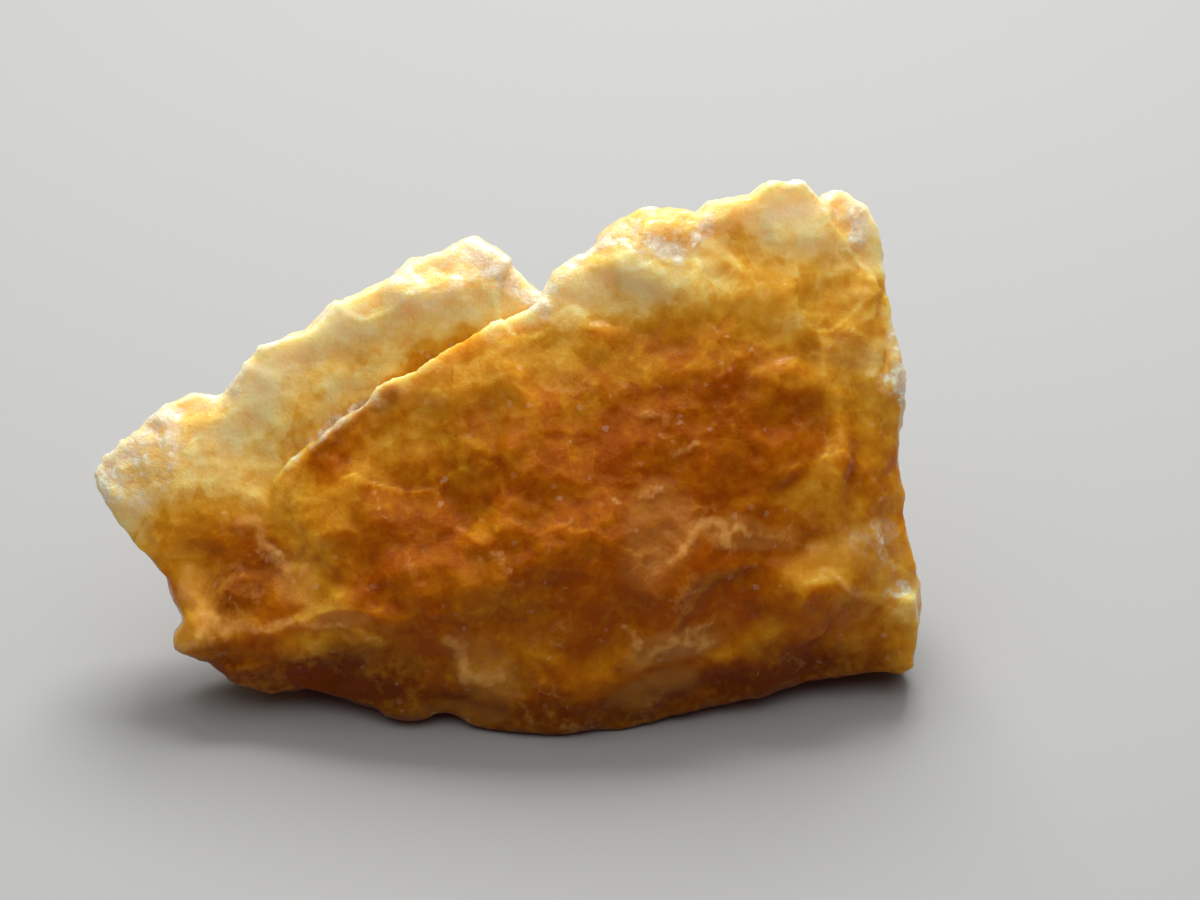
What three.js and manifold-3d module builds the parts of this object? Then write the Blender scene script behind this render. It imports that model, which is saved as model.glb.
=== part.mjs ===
// A rough chunk of golden danburite, one natural piece broken on every side.
//
// It is a wedge: about 14 mm thick where it stands, thinning to a chipped edge
// along the top, with its broad front face leaning back. Millimetres, +Z up, X along
// the chunk's length, Y from the front face to the back. The origin is on the resting
// face, below the middle of the chunk's box.
//
// The chunk is drawn in the frame of its leaning face: a runs along the length, b up
// the slope of the face, d out of the face towards the front. Convex blocks, one for
// each mass between two fractures, are joined, trimmed to the broken outline, leaned
// back, roughened and then cut flat where the chunk rests.

import * as THREE from "three";
import { ConvexGeometry } from "three/addons/geometries/ConvexGeometry.js";
import { ImprovedNoise } from "three/addons/math/ImprovedNoise.js";
import { TessellateModifier } from "three/addons/modifiers/TessellateModifier.js";
import { mergeVertices } from "three/addons/utils/BufferGeometryUtils.js";
import Module from "manifold-3d";

// ---- driving dimensions -------------------------------------------------------------
const LEAN = THREE.MathUtils.degToRad(30); // the front face leans back from upright
const PRISM_DEPTH = 60; // the trimming outline is cut through the whole thickness
const GROUND_SIZE = 80;
const EDGE_LENGTH = 2.0; // longest triangle edge of the roughened surface
const SPLIT_ROUNDS = 12; // enough halvings to bring every edge under that length
const WELD = 1e-4; // corners closer than this are one
const SCOOP_SEGMENTS = 18; // round a whole scoop; only a shallow cap of each one cuts
const UNDULATIONS = [
  // each: wavelength and height of one octave of the fracture relief
  { wavelength: 6.5, height: 0.5 },
  { wavelength: 2.9, height: 0.3 },
];
const RELIEF_SEEDS = [1.7, 5.3, 9.1]; // one part of the noise for each coordinate

// The broken outline, clockwise from the nose, as [a, b] on the leaning face.
const OUTLINE = [
  [-21.0, 13.2], [-20.5, 14.6], [-18.7, 15.9], [-16.5, 17.3], [-15.3, 17.2], [-14.2, 17.6],
  [-12.3, 19.4], [-10.4, 20.5], [-8.2, 22.1], [-6.2, 23.1], [-4.9, 24.0], [-3.4, 24.3],
  [-1.8, 25.0], [-0.3, 24.2], [1.8, 22.1], [2.8, 23.2], [4.6, 24.5], [5.0, 25.6],
  [6.1, 26.5], [7.5, 26.9], [8.9, 26.7], [9.6, 26.3], [9.9, 26.9], [11.5, 27.6],
  [12.1, 27.5], [13.1, 28.2], [14.8, 28.3], [15.8, 27.1], [16.2, 27.6], [16.9, 27.7],
  [18.1, 26.8], [19.1, 24.8], [19.5, 22.6], [19.6, 20.8], [20.3, 17.6], [20.5, 13.5],
  [20.4, 11.2], [20.7, 8.3], [21.0, 5.7], [20.9, 3.3], [20.1, 2.9], [18.6, 2.7],
  [14.6, 2.0], [10.6, 1.2], [5.9, 0.3], [2.4, 0.0], [-0.8, 0.1], [-1.9, 0.3],
  [-3.0, 0.8], [-5.2, 0.5], [-6.7, 1.0], [-8.5, 1.7], [-10.5, 2.1], [-12.1, 1.9],
  [-13.5, 2.4], [-14.9, 3.4], [-16.6, 4.4], [-16.7, 5.0], [-16.2, 5.7], [-17.0, 6.9],
  [-17.8, 8.6], [-18.6, 9.4], [-19.3, 9.7], [-20.3, 11.2],
];

// Each block's corners as [a, b, d]. They reach a little past the outline.
const BLOCKS = {
  // the thick middle, whose front face bulges and whose foot spreads to the base
  heart: [
    [-9, 0.6, -0.6], [2.5, -0.6, 0.2], [11, 0.4, -1.2], [20, 2, -4.2],
    [-12.4, 8.2, 1.4], [-4, 7.2, 4.0], [1.6, 8.4, 4.9], [10, 7.2, 3.6], [17.2, 7.4, 1.6],
    [-11.7, 13.2, 1.9], [-6.2, 17.4, 2.8], [1.9, 21.7, 2.7], [8, 19.4, 3.3], [15.6, 18.6, 2.5],
    [-13, 7, -6.5], [1, 8, -13.4], [17, 8, -12.6], [-7, 14, -8.2], [3, 18.5, -6.2],
    [15, 20, -6.0], [19, 14, -8.4], [-10, -6, -7], [16, -6, -14],
  ],
  // the thin pale flap along the upper left, set back behind the heart's upper edge
  wing: [
    [-19, 16.6, 0.3], [-12, 20.8, 0.9], [-2, 26.4, 1.1], [3, 22.4, 1.2],
    [-20, 16, -2.0], [-12, 20.4, -2.0], [-2, 26.0, -1.6], [3, 22, -1.4],
    [-15.4, 12.4, 1.1], [-10, 12.8, 1.4], [1, 18, 1.8],
    [-16, 10, -5.4], [-6, 12, -9], [1, 15, -8.4],
  ],
  // the blunt end on the left, hanging clear of the ground
  nose: [
    [-22, 13, -0.6], [-20.2, 10.2, -0.1], [-17.6, 7.6, 0.9], [-16.8, 5.0, 0.8], [-8, 5.6, 1.2],
    [-8, 13.4, 1.0], [-16.4, 11.6, 1.7], [-15.5, 16.8, 0.5], [-19.4, 15.4, 0.0],
    [-21.6, 13, -2.6], [-19.4, 10, -4.2], [-16.2, 6, -5.4], [-7, 4, -8], [-13, 15, -5.4],
  ],
  // the low ridge on the left and the undercut facet below it
  keel: [
    [-17.4, 5.6, 0.9], [-17.2, 4.2, 0.2], [-12, 6.2, 2.6], [-6.4, 6.6, 3.7], [-1, 4.6, 2.4],
    [-13, 8.6, 1.0], [-4, 9.2, 2.8], [-13, 1.6, -0.8], [-9, 1.0, -0.8], [1, -0.8, -1.0],
    [-16, 7.6, -4.6], [-8, 7, -8], [0, 4, -8.6],
  ],
  // the thin upper right
  crest: [
    [1.6, 21.4, 2.6], [2.2, 18, 2.9], [9, 16.4, 3.5], [16, 16.4, 2.3], [18.8, 18.4, 1.3],
    [4, 27.4, 1.5], [8, 28.2, 1.6], [12.6, 29.4, 1.7], [15.0, 28.8, 1.3], [18.9, 23.2, 0.9],
    [2.4, 23, -1.6], [4, 26.6, -0.8], [8, 27.2, -1.2], [15.6, 28.6, -1.2], [18, 21, -5.8],
    [1, 15.6, -8],
  ],
  // the round boss at the left of the crest
  boss: [
    [7.2, 24.6, 3.7], [8.6, 23.6, 3.6], [5.6, 23.6, 3.3],
    [3.4, 23, 1.8], [5, 26.6, 1.6], [7.4, 27.6, 1.4], [9.6, 27, 1.4], [10.8, 24, 2.0],
    [8, 20.4, 2.4], [7, 26, -1.4],
  ],
  // the splinter standing behind the crest at the upper right
  spur: [
    [15.2, 18, 1.6], [15.4, 28.6, 0.5], [18.4, 27.6, 0.2], [20.2, 24, 0.2], [20.6, 17, 0.2],
    [16.4, 28.2, -2.4], [18.6, 26.6, -3.0], [20.8, 17, -6.0], [14, 18, -6.6],
  ],
  // the broken right-hand side, a facet turned away to the right
  flank: [
    [16.2, 20, 2.3], [16.6, 13, 2.5], [17.2, 7.6, 1.5], [21.2, 20, -0.4], [21.6, 12, -1.0],
    [21.6, 5, -1.8], [16.6, 3.4, -0.6], [14, 13, 1.8],
    [21.4, 20, -6.0], [21.6, 5, -9.8], [15, 9, -12.4], [15, 19, -6.6],
  ],
  // the pale cleavage block at the lower right corner
  foot: [
    [18.4, 7.4, 0.5], [22, 7.0, -0.4], [22, 3, -2.0], [18.6, 2.2, -1.6],
    [14, 1.4, -1.8], [15, 6, -0.8], [21.6, 9, -9.0], [16, 6, -13], [22, -3, -7.4],
    [14, -3, -7.4],
  ],
  // a ledge low on the back
  ledge: [
    [-4, 9.5, -11.6], [4, 10.4, -14.0], [12, 9.6, -14.4], [13, 6, -13], [-5, 5, -9],
    [12, 4, -14.8], [0, 4, -14.0], [-4, 12, -6], [12, 14, -6],
  ],
};

// Shell-shaped hollows where flakes came away: a sphere's centre [a, b, d] and radius.
const SCOOPS = [
  // front face
  { centre: [-6.6, 15.2, 21.4], radius: 19.0 },
  { centre: [-14.6, 8.8, 11.0], radius: 10.3 },
  { centre: [13.2, 2.6, 9.4], radius: 8.8 },
  { centre: [11.4, 25.4, 12.6], radius: 10.6 },
  { centre: [-13.8, 0.6, 6.6], radius: 6.7 },
  { centre: [-17.2, 18.6, 7.4], radius: 7.6 },
  { centre: [-4.4, 26.0, 8.6], radius: 8.5 },
  // back
  { centre: [-9.4, 17.0, -16.4], radius: 12.6 },
  { centre: [2.4, 20.2, -21.6], radius: 15.2 },
  { centre: [14.4, 15.6, -26.0], radius: 18.4 },
  { centre: [-16.8, 7.4, -16.2], radius: 12.4 },
  { centre: [13.0, 26.4, -13.4], radius: 12.2 },
  { centre: [2.4, 7.6, -26.4], radius: 13.6 },
  // right-hand end
  { centre: [31.4, 13.4, -5.6], radius: 11.8 },
  { centre: [28.4, 4.6, -6.4], radius: 8.2 },
];

const wasm = await Module();
wasm.setup();

// ---- helpers ------------------------------------------------------------------------

/** A closed geometry with its shared vertices merged, as a solid. */
function solidOf(geometry) {
  const bare = geometry.clone();
  bare.deleteAttribute("normal");
  bare.deleteAttribute("uv");
  const merged = mergeVertices(bare, WELD);
  return new wasm.Manifold(
    new wasm.Mesh({
      numProp: 3,
      vertProperties: new Float32Array(merged.attributes.position.array),
      triVerts: new Uint32Array(merged.index.array),
    }),
  );
}

/** The surface of a solid, as an indexed geometry. */
function geometryOf(solid) {
  const mesh = solid.getMesh();
  return new THREE.BufferGeometry()
    .setAttribute("position", new THREE.BufferAttribute(mesh.vertProperties, 3))
    .setIndex(new THREE.BufferAttribute(mesh.triVerts, 1));
}

/** The smallest convex block around a list of [a, b, d] corners. */
function block(corners) {
  return solidOf(new ConvexGeometry(corners.map((corner) => new THREE.Vector3(...corner))));
}

/** The broken outline as a prism through the thickness. */
function outlinePrism() {
  const shape = new THREE.Shape(OUTLINE.map(([a, b]) => new THREE.Vector2(a, b)));
  const prism = new THREE.ExtrudeGeometry(shape, { depth: PRISM_DEPTH, bevelEnabled: false });
  return solidOf(prism.translate(0, 0, -PRISM_DEPTH / 2));
}

/** A ball that leaves a shell-shaped hollow where it is cut away. */
function scoop({ centre, radius }) {
  const ball = new THREE.SphereGeometry(radius, SCOOP_SEGMENTS, SCOOP_SEGMENTS / 2);
  return solidOf(ball.rotateX(Math.PI / 2).translate(...centre));
}

/** Everything below the surface that the chunk rests on. */
function ground() {
  const cube = new THREE.BoxGeometry(GROUND_SIZE, GROUND_SIZE, GROUND_SIZE);
  return solidOf(cube.translate(0, 0, -GROUND_SIZE / 2));
}

/** The joined blocks, trimmed to the outline, flaked and leaned back. */
function brokenBlock() {
  const joined = Object.values(BLOCKS)
    .map(block)
    .reduce((mass, next) => mass.add(next))
    .intersect(outlinePrism());
  const flaked = SCOOPS.map(scoop).reduce((mass, hollow) => mass.subtract(hollow), joined);
  return geometryOf(flaked).rotateX(Math.PI / 2 - LEAN);
}

const noise = new ImprovedNoise();

/** One coordinate of the relief at a point, from the summed octaves. */
function relief(point, seed) {
  return UNDULATIONS.reduce(
    (sum, { wavelength, height }) =>
      sum +
      height *
        noise.noise(
          point.x / wavelength + seed,
          point.y / wavelength + 2 * seed,
          point.z / wavelength - seed,
        ),
    0,
  );
}

/** Splits the facets finely and moves every point by the relief. */
function roughen(geometry) {
  const splitter = new TessellateModifier(EDGE_LENGTH, SPLIT_ROUNDS);
  const fine = mergeVertices(splitter.modify(geometry.toNonIndexed()), WELD);
  const position = fine.attributes.position;
  const point = new THREE.Vector3();
  for (let i = 0; i < position.count; i++) {
    point.fromBufferAttribute(position, i);
    const [x, y, z] = RELIEF_SEEDS.map((seed) => relief(point, seed));
    position.setXYZ(i, point.x + x, point.y + y, point.z + z);
  }
  return fine;
}

/** Cuts the flat resting face and centres the box over the origin. */
function standOnGround(geometry) {
  const standing = geometryOf(solidOf(geometry).subtract(ground()));
  standing.computeBoundingBox();
  const middle = standing.boundingBox.getCenter(new THREE.Vector3());
  return standing.translate(-middle.x, -middle.y, 0);
}

// ---- the object ---------------------------------------------------------------------

const crystal = new THREE.Mesh(
  standOnGround(roughen(brokenBlock())),
  new THREE.MeshStandardMaterial({ color: 0xc98a2b, roughness: 0.35, metalness: 0 }),
);
crystal.name = "danburite_chunk";
crystal.geometry.computeVertexNormals();

const specimen = new THREE.Group();
specimen.add(crystal);

export default specimen;
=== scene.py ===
"""A rough chunk of golden danburite, broken on every side, on a plain pale table.

The frame gives the chunk's solid. The surface is laid over a fine copy of it: fracture
hollows, ridges and crumbs first, then measures of that surface that the finish reads, such
as how thick the crystal is behind each point, and then the healed cracks, frosted breaks and
clouds on its broad leaning face. Lengths are in millimetres until a mesh is written.
"""

from __future__ import annotations

import logging
import math
from collections.abc import Iterable
from dataclasses import dataclass, field
from enum import Enum

import bpy
import numpy as np
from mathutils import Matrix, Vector, noise
from mathutils.bvhtree import BVHTree

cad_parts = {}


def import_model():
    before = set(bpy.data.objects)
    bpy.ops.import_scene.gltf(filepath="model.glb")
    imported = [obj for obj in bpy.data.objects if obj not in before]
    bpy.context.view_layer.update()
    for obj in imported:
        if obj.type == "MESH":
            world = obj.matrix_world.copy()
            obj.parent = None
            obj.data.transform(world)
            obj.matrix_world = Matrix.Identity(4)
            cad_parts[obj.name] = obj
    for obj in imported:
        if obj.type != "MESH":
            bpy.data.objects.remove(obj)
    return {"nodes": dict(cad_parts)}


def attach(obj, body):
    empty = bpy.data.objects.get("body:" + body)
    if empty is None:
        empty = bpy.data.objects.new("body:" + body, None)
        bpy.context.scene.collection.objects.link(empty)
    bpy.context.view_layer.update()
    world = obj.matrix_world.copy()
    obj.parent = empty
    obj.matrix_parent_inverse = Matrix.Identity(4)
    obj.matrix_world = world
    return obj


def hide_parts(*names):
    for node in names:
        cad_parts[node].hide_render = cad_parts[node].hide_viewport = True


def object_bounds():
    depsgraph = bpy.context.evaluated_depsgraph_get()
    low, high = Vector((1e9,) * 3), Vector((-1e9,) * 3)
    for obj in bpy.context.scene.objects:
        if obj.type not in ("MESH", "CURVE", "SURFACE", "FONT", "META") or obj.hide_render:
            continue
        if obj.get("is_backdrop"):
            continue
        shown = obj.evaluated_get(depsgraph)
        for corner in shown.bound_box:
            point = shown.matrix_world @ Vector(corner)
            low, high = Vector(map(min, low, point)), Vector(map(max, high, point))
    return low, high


MM = 0.001
NODE = "danburite_chunk"
NOISE_SEED = 1
NO_VEIN = -2.0  # what a place far from every healed crack counts as
CRACK_STEPS = 9  # points along a healed crack
CRACK_SHAKES = 3.0  # how many times a crack turns on its way
CRACK_WANDER = 0.35  # how far it wanders, as a share of its length
LOG = logging.getLogger("danburite")

Colour = tuple[float, float, float]
Place = tuple[float, float]
Stops = tuple[tuple[float, Colour], ...]
Limits = tuple[float, float]


# ---- shader expressions ---------------------------------------------------------------


class Term:
    """A socket that takes part in Python expressions, each operator adding a Math node."""

    def __init__(self, shader: "Shader", socket: bpy.types.NodeSocket) -> None:
        """Keeps the socket and the shader it belongs to."""
        self.shader = shader
        self.socket = socket

    def __add__(self, other: "Term | float") -> "Term":
        """self + other."""
        return self.shader.math("ADD", self, other)

    __radd__ = __add__

    def __sub__(self, other: "Term | float") -> "Term":
        """self - other."""
        return self.shader.math("SUBTRACT", self, other)

    def __rsub__(self, other: "Term | float") -> "Term":
        """other - self."""
        return self.shader.math("SUBTRACT", other, self)

    def __mul__(self, other: "Term | float") -> "Term":
        """self * other."""
        return self.shader.math("MULTIPLY", self, other)

    __rmul__ = __mul__


class Shader:
    """The node tree of one material."""

    def __init__(self, name: str) -> None:
        """Starts a material with an empty tree.

        Args:
            name: the material's name.
        """
        self.material = bpy.data.materials.new(name)
        self.material.use_nodes = True
        self.tree = self.material.node_tree
        self.tree.nodes.clear()

    def node(self, kind: str, settings: dict | None = None, sockets: dict | None = None) -> bpy.types.Node:
        """Adds one node.

        Args:
            kind: the node's type.
            settings: its properties, set first; "ramp" holds a colour ramp's stops.
            sockets: a value, a Term or an output socket for each input, by name or number.

        Returns:
            The node.
        """
        made = self.tree.nodes.new(kind)
        for key, value in (settings or {}).items():
            if key == "ramp":
                self._stops(made.color_ramp, value)
            else:
                setattr(made, key, value)
        for key, value in (sockets or {}).items():
            target = made.inputs[key]
            value = value.socket if isinstance(value, Term) else value
            if isinstance(value, bpy.types.NodeSocket):
                self.tree.links.new(value, target)
            else:
                target.default_value = value
        return made

    @staticmethod
    def _stops(ramp: bpy.types.ColorRamp, stops: Stops) -> None:
        """Gives a colour ramp its stops.

        Args:
            ramp: a new ramp, with two stops.
            stops: each stop's position and colour.
        """
        while len(ramp.elements) < len(stops):
            ramp.elements.new(1.0)
        for element, (position, colour) in zip(ramp.elements, stops):
            element.position = position
            element.color = (*colour, 1.0)

    def math(self, operation: str, *values: "Term | float") -> Term:
        """One Math node on values."""
        made = self.node("ShaderNodeMath", {"operation": operation}, dict(enumerate(values)))
        return Term(self, made.outputs[0])

    def attribute(self, name: str) -> Term:
        """A number stored at each point of the mesh."""
        made = self.node("ShaderNodeAttribute", {"attribute_name": name})
        return Term(self, made.outputs["Fac"])

    def span(self, value: Term, start: float, end: float, low: float = 0.0, high: float = 1.0) -> Term:
        """A value's stretch from start to end, laid smoothly on low to high and held there.

        Args:
            value: the value.
            start: the value that gives low.
            end: the value that gives high.
            low: the result at start and on its far side.
            high: the result at end and on its far side.

        Returns:
            The result.
        """
        made = self.node(
            "ShaderNodeMapRange",
            {"interpolation_type": "SMOOTHSTEP"},
            {"Value": value, "From Min": start, "From Max": end, "To Min": low, "To Max": high},
        )
        return Term(self, made.outputs["Result"])

    def place(self, size: float) -> bpy.types.NodeSocket:
        """The point on the object, measured in sizes of some millimetres."""
        point = self.node("ShaderNodeTexCoord").outputs["Object"]
        scale = (1 / (size * MM),) * 3
        return self.node("ShaderNodeMapping", {}, {"Vector": point, "Scale": scale}).outputs["Vector"]

    def cloud(self, size: float, detail: float = 2.0, rough: float = 0.55) -> Term:
        """Soft noise whose lumps are about size millimetres across, from 0 to 1.

        Args:
            size: the width of a lump.
            detail: how many finer octaves lie on it.
            rough: how strong each finer octave is beside the last.

        Returns:
            The noise.
        """
        made = self.node(
            "ShaderNodeTexNoise",
            {},
            {"Vector": self.place(size), "Scale": 1.0, "Detail": detail, "Roughness": rough},
        )
        return Term(self, made.outputs["Fac"])

    def chance(self, size: float) -> Term:
        """A number for each grain of a pattern, from 0 to 1 and most often near 0.5.

        Args:
            size: the width of a grain, in millimetres.

        Returns:
            How light the grain's own random colour is.
        """
        made = self.node("ShaderNodeTexVoronoi", {}, {"Vector": self.place(size), "Scale": 1.0})
        return Term(self, made.outputs["Color"])

    def mix(self, factor: "Term | float", first: object, second: object) -> bpy.types.NodeSocket:
        """A colour between two colours.

        Args:
            factor: 0 for the first colour and 1 for the second.
            first: a colour or an output socket.
            second: a colour or an output socket.

        Returns:
            The mixed colour's output.
        """
        # a Mix node has its colours on inputs 6 and 7 and the mixed one on output 2
        colours = [(*c, 1.0) if isinstance(c, tuple) else c for c in (first, second)]
        made = self.node(
            "ShaderNodeMix",
            {"data_type": "RGBA"},
            {0: factor, 6: colours[0], 7: colours[1]},
        )
        return made.outputs[2]


# ---- fields over the chunk's surface ---------------------------------------------------


def rise(values: np.ndarray, start: float, end: float) -> np.ndarray:
    """A smooth step.

    Args:
        values: the values.
        start: the value that gives 0.
        end: the value that gives 1; it may be the lower of the two.

    Returns:
        A number from 0 to 1 for each value.
    """
    t = np.clip((values - start) / (end - start), 0, 1)
    return t * t * (3 - 2 * t)


@dataclass(frozen=True)
class Field:
    """Seeded noise sampled at a list of points, in millimetres."""

    points: np.ndarray
    steepness: float = 0.65  # a hollow's rise over its own width
    tipping: float = 0.22  # how far a hollow's floor may be tipped
    warp: float = 0.25  # how far the ridges wander, as a share of a hollow's width
    warp_size: float = 0.8  # how wide those wanderings are, in the same way
    warp_seed: float = 40.0
    own_scale: float = 9.7  # spreads neighbouring hollows' own numbers

    def _scaled(self, size: float, seed: float) -> Iterable[Vector]:
        """The points in units of size, moved to the seed's own part of the noise."""
        return map(Vector, self.points / size + np.array([seed, 2.3 * seed, -seed]))

    def sway(self, size: float, seed: float) -> np.ndarray:
        """A soft vector at each point, each part of it from about -1 to 1."""
        return np.array([noise.noise_vector(p) for p in self._scaled(size, seed)])

    def cells(self, size: float, seed: float) -> tuple[np.ndarray, np.ndarray]:
        """Angular hollows that meet in sharp ridges and ledges, one round each scattered seed.

        Args:
            size: about the width of a hollow.
            seed: which scatter of hollows.

        Returns:
            0 at the bottom of a hollow rising to about 1 on the ridges, and a number from -1
            to 1 that each hollow has for itself.
        """
        heights, own = [], []
        shifts = self.sway(size * self.warp_size, seed + self.warp_seed)
        for place, shift in zip(self._scaled(size, seed), shifts):
            spot = place + self.warp * Vector(shift)
            distances, seeds = noise.voronoi(spot, distance_metric="MANHATTAN")
            mark = seeds[0] * self.own_scale
            tip = Vector(noise.cell_vector(mark)).dot(spot - seeds[0])
            heights.append(self.steepness * distances[0] + self.tipping * tip)
            own.append(noise.cell(mark))
        return np.array(heights), np.array(own)


class Skin:
    """A fine closed mesh as arrays: its points in millimetres, and its edges."""

    def __init__(self, mesh: bpy.types.Mesh) -> None:
        """Reads a mesh.

        Args:
            mesh: a closed mesh in metres.
        """
        self.mesh = mesh
        count = len(mesh.vertices)
        self.points = np.zeros(count * 3)
        mesh.vertices.foreach_get("co", self.points)
        self.points = self.points.reshape(-1, 3) / MM
        self.edges = np.zeros(len(mesh.edges) * 2, np.int64)
        mesh.edges.foreach_get("vertices", self.edges)
        self.edges = self.edges.reshape(-1, 2)
        self.degree = np.bincount(self.edges.ravel(), minlength=count)[:, None]

    def around(self, values: np.ndarray) -> np.ndarray:
        """The mean of each point's neighbours.

        Args:
            values: one value or a row of values for each point.

        Returns:
            The means, in the same shape.
        """
        rows = values if values.ndim == 2 else values[:, None]
        a, b = self.edges.T
        total = np.stack(
            [
                np.bincount(a, column[b], len(rows)) + np.bincount(b, column[a], len(rows))
                for column in rows.T
            ],
            axis=1,
        )
        mean = total / self.degree
        return mean if values.ndim == 2 else mean[:, 0]

    def blurred(self, values: np.ndarray, rounds: int) -> np.ndarray:
        """Values averaged with their neighbours.

        Args:
            values: one value or a row of values for each point.
            rounds: how many times.

        Returns:
            The softer values, in the same shape.
        """
        for _ in range(rounds):
            values = 0.5 * values + 0.5 * self.around(values)
        return values

    def normals(self) -> np.ndarray:
        """The outward direction at each point.

        Returns:
            A row of three for each point, of length 1.
        """
        self.write()
        out = np.zeros(len(self.points) * 3)
        self.mesh.vertices.foreach_get("normal", out)
        return out.reshape(-1, 3)

    def tree(self) -> BVHTree:
        """The surface as a tree that rays can be cast at, in millimetres."""
        return BVHTree.FromPolygons(self.points.tolist(), [tuple(p.vertices) for p in self.mesh.polygons])

    def write(self) -> None:
        """Puts the points back in the mesh, in metres."""
        self.mesh.vertices.foreach_set("co", (self.points * MM).ravel())
        self.mesh.update()

    def store(self, name: str, values: np.ndarray) -> None:
        """Stores a number at each point, for the shader to read."""
        made = self.mesh.attributes.new(name, "FLOAT", "POINT")
        made.data.foreach_set("value", values.astype(np.float32))


# ---- markings on the leaning face ------------------------------------------------------


class Effect(Enum):
    """What a marking does to the crystal it lies on; each value names the number it changes."""

    DEEPER = "deeper"
    FROST = "frost"
    HAZE = "haze"
    # mostly painted shade: low on the face, along the lower rim and under the heart's edge
    BROWN = "brown"
    VEIN = "vein"


def distance_to(places: np.ndarray, line: np.ndarray) -> np.ndarray:
    """How far each place on the face lies from a line of straight stretches.

    Args:
        places: the places, in millimetres along and up the face.
        line: the line's points, in the same way.

    Returns:
        The distance of each place, in millimetres.
    """
    best = np.full(len(places), np.inf)
    for start, end in zip(line[:-1], line[1:]):
        along = end - start
        t = np.clip((places - start) @ along / (along @ along), 0, 1)
        best = np.minimum(best, np.linalg.norm(places - start - t[:, None] * along, axis=1))
    return best


@dataclass(frozen=True)
class Chart:
    """The leaning front face as a map: how far along its length and how far up its slope."""

    low: Vector
    high: Vector
    lean: float = math.radians(30)
    grazing: tuple[float, float] = (-0.15, 0.3)  # where markings start and are full, by direction
    toe: float = 0.049  # where the face's plane meets the table, as a share of the depth
    slope_over_height: float = 1.122  # the face's height up its slope beside the box's height

    @property
    def sides(self) -> np.ndarray:
        """The face's length and its height up the slope."""
        width, height = self.high.x - self.low.x, self.high.z - self.low.z
        return np.array([width, height * self.slope_over_height]) / MM

    def places(self, points: np.ndarray) -> np.ndarray:
        """Where points lie on the face.

        Args:
            points: the points, in millimetres.

        Returns:
            How far each lies along the face and up it, from its lower left corner.
        """
        low_x = self.low.x / MM
        toe_y = (self.low.y + self.toe * (self.high.y - self.low.y)) / MM
        x, y, z = points.T
        up = z * math.cos(self.lean) + (y - toe_y) * math.sin(self.lean)
        return np.stack([x - low_x, up], axis=1)

    def facing(self, normals: np.ndarray) -> np.ndarray:
        """1 where the surface looks out of the face, 0 where it looks away."""
        out = normals @ np.array([0, -math.cos(self.lean), math.sin(self.lean)])
        return rise(out, *self.grazing)


@dataclass(frozen=True)
class Patch:
    """An oval part of the face. Its middle and half-sizes are shares of the face's sides."""

    effect: Effect
    amount: float
    middle: Place
    reach: Place
    turn: float = 0.0  # degrees that it is tipped, anticlockwise
    soft: float = 0.6  # the share of it that fades

    def cover(self, places: np.ndarray, sides: np.ndarray) -> np.ndarray:
        """How much of the marking each place has.

        Args:
            places: the places, in millimetres along and up the face.
            sides: the face's length and height, in millimetres.

        Returns:
            The amount in the middle, fading to 0 at the oval's border.
        """
        away = places - np.array(self.middle) * sides
        tip = math.radians(self.turn)
        turned = away @ np.array([[math.cos(tip), -math.sin(tip)], [math.sin(tip), math.cos(tip)]])
        share = np.linalg.norm(turned / (np.array(self.reach) * sides), axis=1)
        return self.amount * rise(share, 1 + self.soft / 2, 1 - self.soft / 2)


@dataclass(frozen=True)
class Band:
    """A soft band along a few points, given as shares of the face's sides."""

    effect: Effect
    amount: float
    points: tuple[Place, ...]
    width: float = 0.8

    def cover(self, places: np.ndarray, sides: np.ndarray) -> np.ndarray:
        """How much of the marking each place has.

        Args:
            places: the places, in millimetres along and up the face.
            sides: the face's length and height, in millimetres.

        Returns:
            The amount along the line, fading to 0 a width away from it.
        """
        away = distance_to(places, np.array(self.points) * sides)
        return self.amount * rise(away, self.width, 0.2 * self.width)


@dataclass(frozen=True)
class Crack:
    """A healed crack between two ends, bowed to one side and wandering on its way."""

    start: Place
    end: Place
    bow: float = 0.0  # how far its middle stands off, as a share of its length
    width: float = 0.35
    amount: float = 1.0
    effect: Effect = Effect.VEIN

    def cover(self, places: np.ndarray, sides: np.ndarray) -> np.ndarray:
        """How much of the marking each place has.

        Args:
            places: the places, in millimetres along and up the face.
            sides: the face's length and height, in millimetres.

        Returns:
            The amount on the crack, falling evenly by 1 for each width away from it.
        """
        start, end = np.array(self.start) * sides, np.array(self.end) * sides
        along = end - start
        aside = np.array([-along[1], along[0]])
        steps = np.linspace(0, 1, CRACK_STEPS)[:, None]
        seed = 10 * (self.start[0] + self.start[1])
        shake = np.array([[noise.noise((seed, float(t) * CRACK_SHAKES, 0.0))] for t in steps[:, 0]])
        off = (self.bow + CRACK_WANDER * shake) * np.sin(math.pi * steps)
        line = start + steps * along + off * aside
        return np.maximum(self.amount - distance_to(places, line) / self.width, NO_VEIN)


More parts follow.
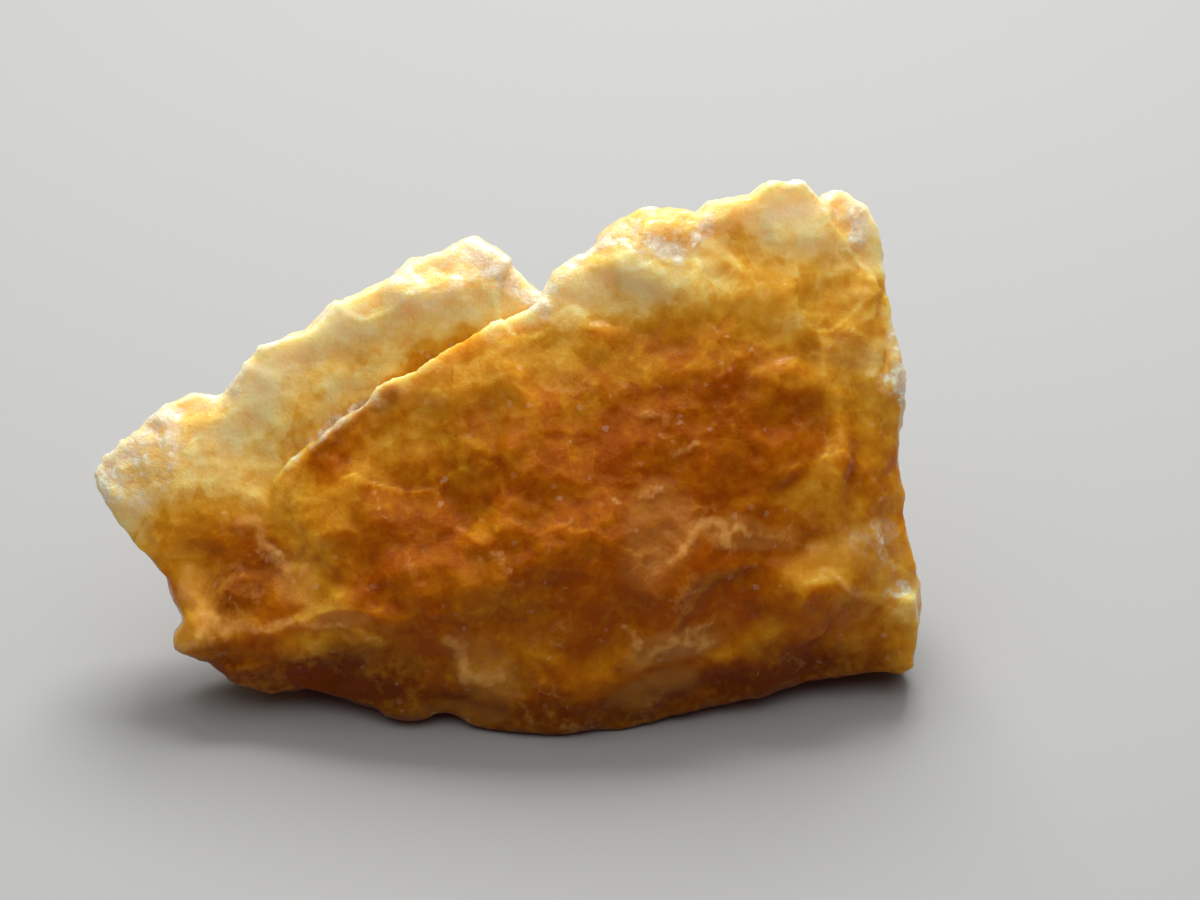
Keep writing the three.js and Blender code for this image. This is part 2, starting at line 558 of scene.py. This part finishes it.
MARKS: tuple[Patch | Band | Crack, ...] = (
    # the pale wing, the golden shoulder below the notch, and the edge where the heart rises over them
    Patch(Effect.DEEPER, -0.08, (0.30, 0.68), (0.26, 0.13), turn=33, soft=0.4),
    Patch(Effect.DEEPER, -0.06, (0.45, 0.59), (0.12, 0.08), turn=20),
    # painted shade: deeper colour along the edge where the heart rises over the wing
    Band(
        Effect.DEEPER,
        0.26,
        ((0.45, 0.70), (0.41, 0.66), (0.35, 0.57), (0.28, 0.50)),
        width=1.4,
    ),
    # the deep heart, sharply bounded against the crest and the right-hand side
    Patch(Effect.DEEPER, 0.20, (0.74, 0.53), (0.15, 0.11), turn=5, soft=0.2),
    Patch(Effect.DEEPER, 0.14, (0.60, 0.24), (0.27, 0.18), soft=0.4),
    Patch(Effect.DEEPER, 0.14, (0.42, 0.32), (0.12, 0.13), turn=-15, soft=0.4),
    Patch(Effect.DEEPER, 0.16, (0.39, 0.21), (0.06, 0.035), turn=5, soft=0.3),
    Patch(Effect.DEEPER, 0.20, (0.59, 0.47), (0.03, 0.02), soft=0.3),
    Patch(Effect.DEEPER, 0.14, (0.60, 0.53), (0.02, 0.02), soft=0.3),
    Patch(Effect.DEEPER, 0.12, (0.90, 0.19), (0.08, 0.07), turn=-15, soft=0.3),
    # the golden crest with its bright facets, and the golden brown right of it
    Patch(Effect.DEEPER, 0.08, (0.78, 0.86), (0.06, 0.05), soft=0.8),
    Patch(Effect.DEEPER, 0.10, (0.73, 0.81), (0.20, 0.10), turn=15),
    Patch(Effect.DEEPER, -0.26, (0.65, 0.80), (0.12, 0.07), turn=10, soft=0.8),
    Patch(Effect.DEEPER, -0.07, (0.52, 0.70), (0.09, 0.06), turn=25, soft=0.8),
    Patch(Effect.DEEPER, 0.10, (0.80, 0.68), (0.11, 0.05), turn=5),
    Patch(Effect.DEEPER, -0.12, (0.84, 0.90), (0.04, 0.06), turn=50, soft=0.3),
    Patch(Effect.DEEPER, 0.20, (0.92, 0.76), (0.05, 0.06), turn=-20, soft=0.4),
    # the left end, the ochre right-hand side and the olive foot
    Patch(Effect.DEEPER, 0.36, (0.14, 0.25), (0.11, 0.15)),
    Patch(Effect.DEEPER, 0.10, (0.30, 0.23), (0.07, 0.04), turn=5),
    Patch(Effect.DEEPER, 0.06, (0.94, 0.53), (0.05, 0.11), soft=0.2),
    Patch(Effect.DEEPER, 0.10, (0.97, 0.16), (0.04, 0.09), soft=0.2),
    # brown patches, mostly painted shade low on the face, and the dark lower rim, painted shade where
    # little light gets in
    Patch(Effect.BROWN, 0.7, (0.18, 0.26), (0.045, 0.045), turn=45, soft=0.8),
    Patch(Effect.BROWN, 0.6, (0.22, 0.32), (0.012, 0.03), turn=20, soft=0.4),
    Patch(Effect.BROWN, 0.5, (0.31, 0.11), (0.08, 0.05), soft=0.4),
    Patch(Effect.BROWN, 0.5, (0.82, 0.12), (0.08, 0.04), turn=8),
    Patch(Effect.BROWN, 0.3, (0.90, 0.68), (0.06, 0.03), soft=0.5),
    Band(
        Effect.BROWN,
        1.0,
        ((0.16, 0.10), (0.32, 0.05), (0.56, 0.0), (0.80, 0.05), (0.93, 0.08)),
        width=3.4,
    ),
    # painted shade: a brown line under the edge where the heart rises over the wing
    Band(Effect.BROWN, 0.6, ((0.37, 0.61), (0.32, 0.56), (0.27, 0.52)), width=0.7),
    # pinkish clouds under the surface
    Patch(Effect.HAZE, 0.7, (0.25, 0.28), (0.03, 0.04)),
    Patch(Effect.HAZE, 0.3, (0.13, 0.23), (0.02, 0.06), turn=15, soft=0.4),
    Patch(Effect.HAZE, 0.6, (0.30, 0.22), (0.04, 0.025), soft=0.4),
    Patch(Effect.HAZE, 0.4, (0.47, 0.12), (0.05, 0.04), turn=-50),
    Patch(Effect.HAZE, 0.3, (0.44, 0.03), (0.06, 0.03)),
    Patch(Effect.HAZE, 0.5, (0.68, 0.36), (0.04, 0.09), turn=-10),
    Patch(Effect.HAZE, 0.5, (0.78, 0.36), (0.06, 0.03), soft=0.4),
    Patch(Effect.HAZE, 0.6, (0.70, 0.16), (0.06, 0.03), turn=15, soft=0.4),
    Patch(Effect.HAZE, 0.6, (0.94, 0.33), (0.05, 0.04), turn=-40),
    Patch(Effect.HAZE, 0.5, (0.92, 0.68), (0.05, 0.04)),
    Patch(Effect.HAZE, 0.5, (0.155, 0.50), (0.015, 0.04), turn=20),
    Patch(Effect.HAZE, 0.4, (0.68, 0.08), (0.05, 0.03), turn=10),
    # sugary breaks: the tip, the wing's top, the boss, the spur and chips down the right-hand side
    Patch(Effect.FROST, 0.8, (0.05, 0.50), (0.07, 0.09), turn=40),
    Patch(Effect.FROST, 0.5, (0.42, 0.82), (0.08, 0.05), turn=20),
    Patch(Effect.FROST, 0.5, (0.67, 0.90), (0.06, 0.05)),
    Patch(Effect.FROST, 1.2, (0.92, 0.90), (0.012, 0.05), turn=-25, soft=0.3),
    Patch(Effect.FROST, 0.6, (0.90, 0.95), (0.03, 0.04)),
    Patch(Effect.FROST, 1.0, (0.97, 0.63), (0.02, 0.03), soft=0.4),
    Patch(Effect.FROST, 1.0, (0.97, 0.26), (0.02, 0.02), soft=0.4),
    Patch(Effect.FROST, 0.4, (0.95, 0.34), (0.04, 0.04), turn=-40),
    # frosted rims: the tip and the wing, both sides of the notch, under the boss, the crest
    Band(Effect.FROST, 0.9, ((0.01, 0.46), (0.05, 0.56), (0.11, 0.61), (0.17, 0.62)), width=1.2),
    Band(Effect.FROST, 0.7, ((0.17, 0.62), (0.22, 0.71), (0.30, 0.78), (0.38, 0.84)), width=0.9),
    Band(Effect.FROST, 1.1, ((0.46, 0.88), (0.50, 0.82), (0.54, 0.77)), width=1.2),
    Band(Effect.FROST, 1.2, ((0.54, 0.77), (0.57, 0.84), (0.61, 0.87)), width=0.8),
    Band(Effect.FROST, 0.9, ((0.61, 0.87), (0.67, 0.88), (0.71, 0.86), (0.74, 0.91)), width=0.8),
    Band(Effect.FROST, 0.7, ((0.73, 0.95), (0.80, 0.98), (0.85, 1.00)), width=0.7),
    Band(Effect.FROST, 0.7, ((0.965, 0.75), (0.97, 0.68), (0.98, 0.60)), width=0.7),
    # beads along the heart's edge
    Band(Effect.FROST, 0.6, ((0.35, 0.60), (0.30, 0.56), (0.26, 0.53), (0.24, 0.48)), width=0.45),
    # healed cracks and worn ridges, from left to right
    Crack((0.055, 0.40), (0.08, 0.45), width=0.3, amount=0.8),
    Crack((0.115, 0.28), (0.14, 0.175), bow=-0.05, width=0.7, amount=0.9),
    Crack((0.11, 0.165), (0.20, 0.20), bow=0.1, width=0.5),
    Crack((0.20, 0.20), (0.31, 0.20), bow=0.05, width=0.4, amount=0.8),
    Crack((0.185, 0.385), (0.235, 0.285), bow=0.1, width=0.6),
    Crack((0.235, 0.295), (0.265, 0.305), width=0.5, amount=0.8),
    Crack((0.32, 0.19), (0.35, 0.165), width=0.4, amount=0.7),
    Crack((0.345, 0.425), (0.35, 0.40), width=0.25, amount=0.7),
    Crack((0.43, 0.17), (0.49, 0.10), bow=-0.1, width=0.6),
    Crack((0.48, 0.315), (0.50, 0.305), width=0.35, amount=0.8),
    Crack((0.62, 0.43), (0.64, 0.41), width=0.3, amount=0.7),
    Crack((0.665, 0.43), (0.685, 0.435), width=0.35, amount=0.8),
    Crack((0.66, 0.57), (0.69, 0.56), width=0.5, amount=0.9),
    Crack((0.68, 0.53), (0.70, 0.52), width=0.35, amount=0.7),
    Crack((0.70, 0.50), (0.725, 0.515), width=0.4, amount=0.8),
    Crack((0.695, 0.305), (0.755, 0.375), bow=0.2, width=0.5),
    Crack((0.755, 0.375), (0.77, 0.34), width=0.5),
    Crack((0.77, 0.36), (0.82, 0.36), bow=0.1, width=0.4, amount=0.7),
    Crack((0.64, 0.19), (0.66, 0.16), width=0.4, amount=0.8),
    Crack((0.675, 0.145), (0.745, 0.18), bow=0.05, width=0.5, amount=0.9),
    Crack((0.72, 0.195), (0.75, 0.205), width=0.35, amount=0.7),
    Crack((0.86, 0.33), (0.885, 0.33), width=0.5, amount=0.9),
    Crack((0.875, 0.295), (0.95, 0.26), bow=-0.1, width=0.35, amount=0.8),
    Crack((0.87, 0.965), (0.925, 0.85), bow=0.1, width=0.35, amount=0.9),
)


# ---- the chunk -------------------------------------------------------------------------


@dataclass(frozen=True)
class Breakage:
    """One scale of fracture hollows over the whole surface."""

    size: float  # about the width of a hollow
    height: float  # from its bottom to the ridges round it
    tint: float  # how much its colour differs from its neighbours'
    seed: float


@dataclass
class Chunk:
    """The whole specimen. Lengths are in millimetres."""

    node: bpy.types.Object
    chart: Chart
    voxel: float = 0.2
    softening: int = 3
    # size, reach and seed of each sway that makes the edges ragged
    ragged: tuple[tuple[float, float, float], ...] = ((2.4, 0.32, 4.4), (0.9, 0.10, 6.1))
    breakage: tuple[Breakage, ...] = (
        Breakage(6.5, 0.55, 0.8, 3.1),
        Breakage(2.8, 0.25, 0.8, 9.7),
        Breakage(1.3, 0.10, 0.5, 5.2),
    )
    crumbs: Breakage = Breakage(0.75, 0.16, 0.0, 7.3)
    vein_relief: float = 0.08
    # size, reach and seed of each sway that moves the markings' borders
    wander: tuple[tuple[float, float, float], ...] = ((2.6, 0.6, 8.3), (0.9, 0.25, 2.9))
    # light comes in straight and on this many ways that lean
    probe_lean: float = math.radians(50)
    leaning_probes: int = 6
    probe_axis: tuple[float, float, float] = (0.31, 0.22, 0.92)  # what the leaning ways are turned from
    dimming: float = 5.0  # the depth over which light fades to about a third
    # painted shade: the lowest parts are drawn deeper in colour, as less light gets there
    table_shade: float = 5.0  # the lowest parts count as deeper by this, as less light gets there
    shade_height: float = 6.0  # where that shade ends
    smoothing: int = 24  # rounds that give the smooth surface which ridges stand out from
    start_depth: float = 0.1  # how far under the surface the ways in start
    calming: int = 6  # rounds that calm the directions that are measured from
    depth_calming: int = 10
    foot_ease: tuple[float, float] = (0.05, 0.8)  # heights where the relief starts and is full
    skin: Skin = field(init=False)

    def build(self) -> bpy.types.Object:
        """Makes the fine surface and everything that its finish reads.

        Returns:
            The object, in the frame's place.
        """
        mesh = self._fine_copy()
        self.skin = Skin(mesh)
        self.skin.points = self.skin.blurred(self.skin.points, self.softening)
        self._break_up()
        marks = self._mark()
        self._crumble(marks)
        self._measure()
        made = bpy.data.objects.new("danburite", mesh)
        bpy.context.scene.collection.objects.link(made)
        mesh.polygons.foreach_set("use_smooth", [True] * len(mesh.polygons))
        return made

    def dress(self, piece: bpy.types.Object, finish: "CrystalFinish") -> None:
        """Puts the finish on the piece."""
        piece.data.materials.clear()
        piece.data.materials.append(finish.make())

    def _fine_copy(self) -> bpy.types.Mesh:
        """Lays even small quads over the solid.

        Returns:
            The new mesh, in metres.
        """
        rough = bpy.data.objects.new("rough_copy", self.node.data.copy())
        bpy.context.scene.collection.objects.link(rough)
        remesh = rough.modifiers.new("even", "REMESH")
        remesh.mode = "VOXEL"
        remesh.voxel_size = self.voxel * MM
        graph = bpy.context.evaluated_depsgraph_get()
        mesh = bpy.data.meshes.new_from_object(rough.evaluated_get(graph))
        bpy.data.objects.remove(rough)
        return mesh

    def _shift(self, steps: np.ndarray) -> None:
        """Moves each point by its own step, easing off near the resting face.

        Args:
            steps: a row of three for each point, in millimetres.
        """
        skin = self.skin
        skin.points += steps * rise(skin.points[:, 2], *self.foot_ease)[:, None]
        skin.points[:, 2] = np.maximum(skin.points[:, 2], 0)
        skin.write()

    def _push(self, heights: np.ndarray) -> None:
        """Moves the surface outwards by heights."""
        self._shift(self.skin.normals() * heights[:, None])

    def _break_up(self) -> None:
        """Makes the edges ragged and lays fracture hollows of several sizes on the surface."""
        for size, reach, seed in self.ragged:
            self._shift(reach * Field(self.skin.points).sway(size, seed))
        tint = np.zeros(len(self.skin.points))
        for scale in self.breakage:
            ridge, own = Field(self.skin.points).cells(scale.size, scale.seed)
            self._push((ridge - 0.5) * scale.height)
            tint += own * scale.tint
        self.skin.store("tint", tint)

    def _mark(self) -> dict[Effect, np.ndarray]:
        """Lays the markings on the leaning face.

        Returns:
            The number that each effect has at each point.
        """
        skin = self.skin
        normals = skin.blurred(skin.normals(), self.calming)
        facing = self.chart.facing(normals)
        places = self.chart.places(skin.points)
        for size, reach, seed in self.wander:
            places = places + reach * Field(skin.points).sway(size, seed)[:, [0, 2]]
        marks = {}
        for effect in Effect:
            covers = [m.cover(places, self.chart.sides) for m in MARKS if m.effect is effect]
            if effect is Effect.VEIN:
                marks[effect] = np.max(covers, axis=0) * facing + NO_VEIN * (1 - facing)
            else:
                marks[effect] = np.sum(covers, axis=0) * facing
            skin.store(effect.value, marks[effect])
        return marks

    def _crumble(self, marks: dict[Effect, np.ndarray]) -> None:
        """Breaks the frosted parts into crumbs and lifts the healed cracks a little.

        Args:
            marks: the number that each effect has at each point.
        """
        scale = self.crumbs
        ridge, _ = Field(self.skin.points).cells(scale.size, scale.seed)
        frosted = np.clip(marks[Effect.FROST], 0, 1)
        self._push((0.5 - ridge) * scale.height * frosted)
        self._push(self.vein_relief * rise(marks[Effect.VEIN], 0, 1))

    def _measure(self) -> None:
        """Stores the thickness behind each point, with painted shade added on the lowest parts, and how
        sharply the surface turns there.
        """
        skin = self.skin
        normals = skin.blurred(skin.normals(), self.calming)
        normals /= np.linalg.norm(normals, axis=1)[:, None]
        # painted shade: the lowest parts are made deeper in colour, as less light reaches them, and stored
        # with the depth
        shaded = self.table_shade * rise(skin.points[:, 2], self.shade_height, 0)
        skin.store("depth", skin.blurred(self._depths(normals), self.depth_calming) + shaded)
        smooth = skin.blurred(skin.points, self.smoothing)
        skin.store("turn", ((skin.points - smooth) * normals).sum(1))

    def _depths(self, normals: np.ndarray) -> np.ndarray:
        """How deep the crystal is behind each point, as light dimmed on its ways in would show it.

        Args:
            normals: the outward direction at each point.

        Returns:
            The depth, nearer to the shortest of the ways than to their mean.
        """
        tree = self.skin.tree()
        start = self.start_depth
        lit = np.zeros(len(normals))
        turns = [step * math.tau / self.leaning_probes for step in range(self.leaning_probes)]
        ways = [(0.0, 0.0)] + [(self.probe_lean, turn) for turn in turns]
        side = np.cross(normals, self.probe_axis)
        side /= np.linalg.norm(side, axis=1)[:, None]
        other = np.cross(normals, side)
        for lean, turn in ways:
            sideways = math.cos(turn) * side + math.sin(turn) * other
            inward = -math.cos(lean) * normals + math.sin(lean) * sideways
            for i, (point, way) in enumerate(zip(self.skin.points - start * normals, inward)):
                hit = tree.ray_cast(Vector(point), Vector(way))
                length = hit[3] + start if hit[0] is not None else start
                lit[i] += math.exp(-length / self.dimming)
        return -self.dimming * np.log(lit / len(ways))


@dataclass(frozen=True)
class CrystalFinish:
    """Golden danburite: paler and clearer where it is thin, and deeper in colour as it thickens.

    Sizes and depths are in millimetres. Each *_size is the width of a pattern's lumps.
    """

    # the colour at each share of the full depth
    by_depth: Stops = (
        (0.00, (0.92, 0.80, 0.53)),
        (0.25, (0.97, 0.79, 0.38)),
        (0.42, (0.91, 0.63, 0.18)),
        (0.55, (0.80, 0.43, 0.045)),
        (0.68, (0.69, 0.30, 0.012)),
        (0.82, (0.56, 0.18, 0.004)),
        (1.00, (0.42, 0.09, 0.0015)),
    )
    full_depth: float = 16.0
    deepest: float = 0.95
    # the brown of the painted shade low on the face and under the heart's edge
    brown: Colour = (0.22, 0.04, 0.002)
    haze: Colour = (0.80, 0.42, 0.09)
    vein: Colour = (0.92, 0.50, 0.14)
    frost: Colour = (0.83, 0.73, 0.54)
    fleck_and_glint: Colour = (0.98, 0.86, 0.62)
    ior: float = 1.63
    see_through: float = 0.32
    glow_radius: Colour = (1.0, 0.65, 0.35)  # how far each colour of light spreads, as a share
    glow_reach: float = 1.6
    absorbs: Colour = (0.86, 0.52, 0.04)
    absorption: float = 450.0  # per metre
    shine: float = 0.1
    gloss: Colour = (0.20, 0.10, 0.03)
    # the waxy breaks: their glaze, and how rough the glassy and the waxy parts are
    glaze: float = 0.06
    glaze_roughness: float = 0.22
    polish: tuple[float, float] = (0.11, 0.18)
    polish_size: float = 0.9
    polish_limits: Limits = (0.3, 0.7)
    # facets, ridges and clouds, which shift the colour along the depths
    hollow_tone: float = 0.05
    # painted light and shade: paler on ridges, deeper in hollows, by how sharply the surface turns
    ridge_light_hollow_shade: float = 0.2
    facet_tones: tuple[tuple[float, float], ...] = ((1.9, 0.12), (0.7, 0.11))  # size, strength
    cloud_size: float = 3.0
    clouding: float = 0.17
    graining: float = 0.30
    least_clouding: float = 0.2  # as a share, where the crystal is thinnest
    # the fine noise that breaks up every edge, and the grain of the surface
    grit_size: float = 0.55
    grain_size: float = 0.45
    grain_strength: float = 0.7
    grain_height: float = 0.14
    # frost: on the marked breaks and on ridges that stand out sharply
    ridge_frost: float = 0.25
    ridge_limits: Limits = (0.03, 0.22)
    frost_size: float = 2.2
    frost_limits: Limits = (0.75, 1.25)
    least_frost: float = 0.25
    frost_edge: Limits = (0.1, 0.9)
    frost_cover: float = 0.85
    frost_roughness: float = 0.05
    sugar_gloss: float = 0.7
    # bright flecks: pale specks in the crystal and painted glints, more of them on frost
    fleck_size: float = 0.25
    fleck_limits: Limits = (0.88, 0.96)
    frost_flecks: float = 0.28
    fleck_strength: tuple[float, float] = (0.15, 0.75)  # anywhere, and more on full frost
    # healed cracks: the marked ones, and faint ones that clouds of haze bring out
    crack_raggedness: float = 2.2
    crack_edge: Limits = (0.1, 1.0)
    crack_strength: float = 0.5
    faint_cracks: float = 0.22
    faint_size: float = 1.8
    faint_width: float = 0.05
    faint_raggedness: float = 0.10
    faint_patches: float = 3.0
    faint_limits: Limits = (0.55, 0.72)
    haze_cracks: float = 0.15
    # how grit breaks up the brown painted shade: with none of it, and what full grit adds
    brown_grit: tuple[float, float] = (0.4, 0.8)

    def make(self) -> bpy.types.Material:
        """Makes the material.

        Returns:
            The finished material.
        """
        shader = Shader("danburite")
        grit = shader.cloud(self.grit_size)
        frost = self._frost(shader, grit)
        surface = shader.node(
            "ShaderNodeBsdfPrincipled",
            {"subsurface_method": "RANDOM_WALK"},
            {
                "Base Color": self._colour(shader, grit, frost),
                "Roughness": self._roughness(shader, frost),
                "IOR": self.ior,
                "Specular IOR Level": self.shine,
                "Specular Tint": (*self.gloss, 1.0),
                "Coat Weight": frost * self.sugar_gloss + self.glaze,
                "Coat Roughness": self.glaze_roughness,
                "Transmission Weight": self.see_through,
                "Subsurface Weight": 1.0,
                "Subsurface Radius": self.glow_radius,
                "Subsurface Scale": self.glow_reach * MM,
                "Normal": self._relief(shader),
            },
        )
        inside = shader.node(
            "ShaderNodeVolumeAbsorption", {}, {"Color": (*self.absorbs, 1.0), "Density": self.absorption}
        )
        shader.node(
            "ShaderNodeOutputMaterial",
            {},
            {"Surface": surface.outputs["BSDF"], "Volume": inside.outputs["Volume"]},
        )
        return shader.material

    def _frost(self, shader: Shader, grit: Term) -> Term:
        """How sugary the surface is: on the frosted breaks and along worn ridges.

        Args:
            shader: the material's tree.
            grit: the fine noise that breaks up every edge.

        Returns:
            0 where the crystal is clean and 1 where it is all sugar.
        """
        ridges = shader.span(shader.attribute("turn"), *self.ridge_limits) * self.ridge_frost
        patches = shader.attribute(Effect.FROST.value)
        broken = shader.span(grit + shader.cloud(self.frost_size), *self.frost_limits, self.least_frost)
        return shader.span((ridges + patches) * broken, *self.frost_edge)

    def _vein(self, shader: Shader, grit: Term) -> Term:
        """How much healed crack shows: those marked on the face, and faint ones all over.

        Args:
            shader: the material's tree.
            grit: the fine noise that breaks up every edge.

        Returns:
            0 beside the cracks and the strongest on the marked ones.
        """
        ragged = (grit - 0.5) * self.crack_raggedness
        marked = shader.span(shader.attribute(Effect.VEIN.value) + ragged, *self.crack_edge)
        line = shader.math("ABSOLUTE", shader.cloud(self.faint_size, 4.0, rough=0.6) - 0.5)
        hazy = shader.attribute(Effect.HAZE.value) * self.haze_cracks
        kept = shader.span(shader.cloud(self.faint_patches) + hazy, *self.faint_limits)
        ragged_line = line + (grit - 0.5) * self.faint_raggedness
        faint = shader.span(ragged_line, 0.0, self.faint_width, 1.0, 0.0) * kept
        return shader.math("MAXIMUM", marked * self.crack_strength, faint * self.faint_cracks)

    def _depth(self, shader: Shader, grit: Term) -> Term:
        """Where on the ramp of depths the crystal's colour lies.

        Args:
            shader: the material's tree.
            grit: the fine noise that breaks up every edge.

        Returns:
            The measured depth as a share of the full one, with facets and clouds in it, and with painted
            shade on the lowest parts and in hollows and painted light on ridges.
        """
        # the stored depth holds the painted shade of the lowest parts as well as the thickness
        depth = shader.attribute("depth") * (1 / self.full_depth)
        clouds = shader.cloud(self.cloud_size, 3.0, rough=0.6) - 0.5
        mottling = clouds * self.clouding + (grit - 0.5) * self.graining
        # painted light on ridges and painted shade in hollows, read from how sharply the surface turns
        facets = shader.attribute("tint") * self.hollow_tone - shader.attribute("turn") * self.ridge_light_hollow_shade
        for size, tone in self.facet_tones:
            facets = facets + (shader.chance(size) - 0.5) * tone
        deep = shader.math("MINIMUM", depth + shader.attribute(Effect.DEEPER.value), self.deepest)
        return deep + facets + mottling * (depth + self.least_clouding)

    def _colour(self, shader: Shader, grit: Term, frost: Term) -> bpy.types.NodeSocket:
        """The colour of the crystal, deepening with its thickness, with brown painted shade, under its
        clouds and frost, with pale flecks and painted glints.

        Args:
            shader: the material's tree.
            grit: the fine noise that breaks up every edge.
            frost: how sugary the surface is.

        Returns:
            The colour's output.
        """
        deep = self._depth(shader, grit)
        body = shader.node("ShaderNodeValToRGB", {"ramp": self.by_depth}, {"Fac": deep}).outputs["Color"]
        least, more = self.brown_grit
        # brown painted shade, low on the face and under the heart's edge
        body = shader.mix(shader.attribute(Effect.BROWN.value) * (grit * more + least), body, self.brown)
        body = shader.mix(shader.attribute(Effect.HAZE.value) * grit, body, self.haze)
        body = shader.mix(self._vein(shader, grit), body, self.vein)
        body = shader.mix(frost * self.frost_cover, body, self.frost)
        # bright flecks: pale specks, and painted glints that are strongest on frost
        odds = shader.chance(self.fleck_size) + frost * self.frost_flecks
        least, more = self.fleck_strength
        flecks = shader.span(odds, *self.fleck_limits) * (frost * more + least)
        return shader.mix(flecks, body, self.fleck_and_glint)

    def _roughness(self, shader: Shader, frost: Term) -> Term:
        """Waxy to glassy breaks, duller where they are frosted."""
        patches = shader.cloud(self.polish_size, 1.0)
        return shader.span(patches, *self.polish_limits, *self.polish) + frost * self.frost_roughness

    def _relief(self, shader: Shader) -> bpy.types.NodeSocket:
        """A fine grain, stronger on the frosted breaks.

        Args:
            shader: the material's tree.

        Returns:
            The bumped direction's output.
        """
        grain = shader.cloud(self.grain_size, rough=0.7)
        height = grain * (shader.attribute(Effect.FROST.value) + 1.0)
        bump = shader.node(
            "ShaderNodeBump",
            {},
            {"Strength": self.grain_strength, "Distance": self.grain_height * MM, "Height": height},
        )
        return bump.outputs["Normal"]


# ---- the studio ------------------------------------------------------------------------


@dataclass(frozen=True)
class Softbox:
    """One square area light, placed round the chunk's middle.

    The azimuth is 0 in front and grows towards the right. Lengths are in metres.
    """

    name: str
    azimuth: float
    elevation: float
    distance: float
    size: float
    watts: float
    colour: Colour = (1.0, 1.0, 1.0)

    def build(self, target: Vector) -> None:
        """Hangs the light so that it faces the target.

        Args:
            target: where it points, in metres.
        """
        lamp = bpy.data.lights.new(self.name, "AREA")
        lamp.size = self.size
        lamp.energy = self.watts
        lamp.color = self.colour
        made = bpy.data.objects.new(self.name, lamp)
        bpy.context.scene.collection.objects.link(made)
        a, e = math.radians(self.azimuth), math.radians(self.elevation)
        back = Vector((math.sin(a) * math.cos(e), -math.cos(a) * math.cos(e), math.sin(e)))
        made.location = target + back * self.distance
        made.rotation_euler = (-back).to_track_quat("-Z", "Y").to_euler()


@dataclass
class Studio:
    """The pale table, the soft light and the camera. Lengths are in metres, the lens's in mm."""

    low: Vector
    high: Vector
    elevation: float = 30.0
    distance: float = 0.1446
    lens: float = 85.0
    sensor: float = 36.0
    aim: tuple[float, float] = (0.611, 0.4885)  # what the camera looks at, in shares of the box
    floor_size: float = 1.6
    floor_colour: Colour = (0.195, 0.195, 0.191)
    floor_roughness: float = 0.8
    lights: tuple[Softbox, ...] = (
        Softbox("key", 176, 55, 0.30, 0.18, 2.0),
        Softbox("top", 0, 80, 0.60, 0.90, 5.6),
    )
    room_light: float = 0.12
    room_colour: Colour = (1.0, 0.98, 0.95)

    def build(self) -> None:
        """Makes the table, the lights and the camera."""
        self._table()
        middle = (self.low + self.high) / 2
        for box in self.lights:
            box.build(middle)
        self._world()
        self._camera()
        bpy.context.scene.view_settings.view_transform = "Standard"

    def _table(self) -> None:
        """A plain pale top."""
        half = self.floor_size / 2
        mesh = bpy.data.meshes.new("table_top")
        corners = [(-half, -half, 0), (half, -half, 0), (half, half, 0), (-half, half, 0)]
        mesh.from_pydata(corners, [], [(0, 1, 2, 3)])
        top = bpy.data.objects.new("table_top", mesh)
        bpy.context.scene.collection.objects.link(top)
        shader = Shader("table_top")
        surface = shader.node(
            "ShaderNodeBsdfPrincipled",
            {},
            {"Base Color": (*self.floor_colour, 1.0), "Roughness": self.floor_roughness},
        )
        shader.node("ShaderNodeOutputMaterial", {}, {"Surface": surface.outputs["BSDF"]})
        mesh.materials.append(shader.material)
        top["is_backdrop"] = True

    def _world(self) -> None:
        """Even pale light from all round."""
        world = bpy.data.worlds.new("studio")
        world.use_nodes = True
        back = world.node_tree.nodes["Background"]
        back.inputs["Color"].default_value = (*self.room_colour, 1.0)
        back.inputs["Strength"].default_value = self.room_light
        bpy.context.scene.world = world

    def _camera(self) -> None:
        """The camera, looking down on the leaning face."""
        width, height = self.high.x - self.low.x, self.high.z - self.low.z
        across, up = self.aim
        target = Vector((self.low.x + across * width, 0.0, self.low.z + up * height))
        e = math.radians(self.elevation)
        back = Vector((0, -math.cos(e), math.sin(e)))
        lens = bpy.data.cameras.new("camera")
        lens.lens = self.lens
        lens.sensor_width = self.sensor
        lens.clip_start = 0.01
        camera = bpy.data.objects.new("camera", lens)
        bpy.context.scene.collection.objects.link(camera)
        camera.location = target + back * self.distance
        camera.rotation_euler = (-back).to_track_quat("-Z", "Y").to_euler()
        bpy.context.scene.camera = camera


def main() -> None:
    """Builds the studio and the specimen."""
    logging.basicConfig(level=logging.INFO, format="%(message)s")
    noise.seed_set(NOISE_SEED)
    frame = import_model()
    low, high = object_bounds()
    Studio(low, high).build()
    chunk = Chunk(frame["nodes"][NODE], Chart(low, high))
    piece = chunk.build()
    chunk.dress(piece, CrystalFinish())
    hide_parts(NODE)
    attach(piece, "root")
    LOG.info("%s: %d points, %d faces", piece.name, len(piece.data.vertices), len(piece.data.polygons))


if __name__ == "__main__":
    main()
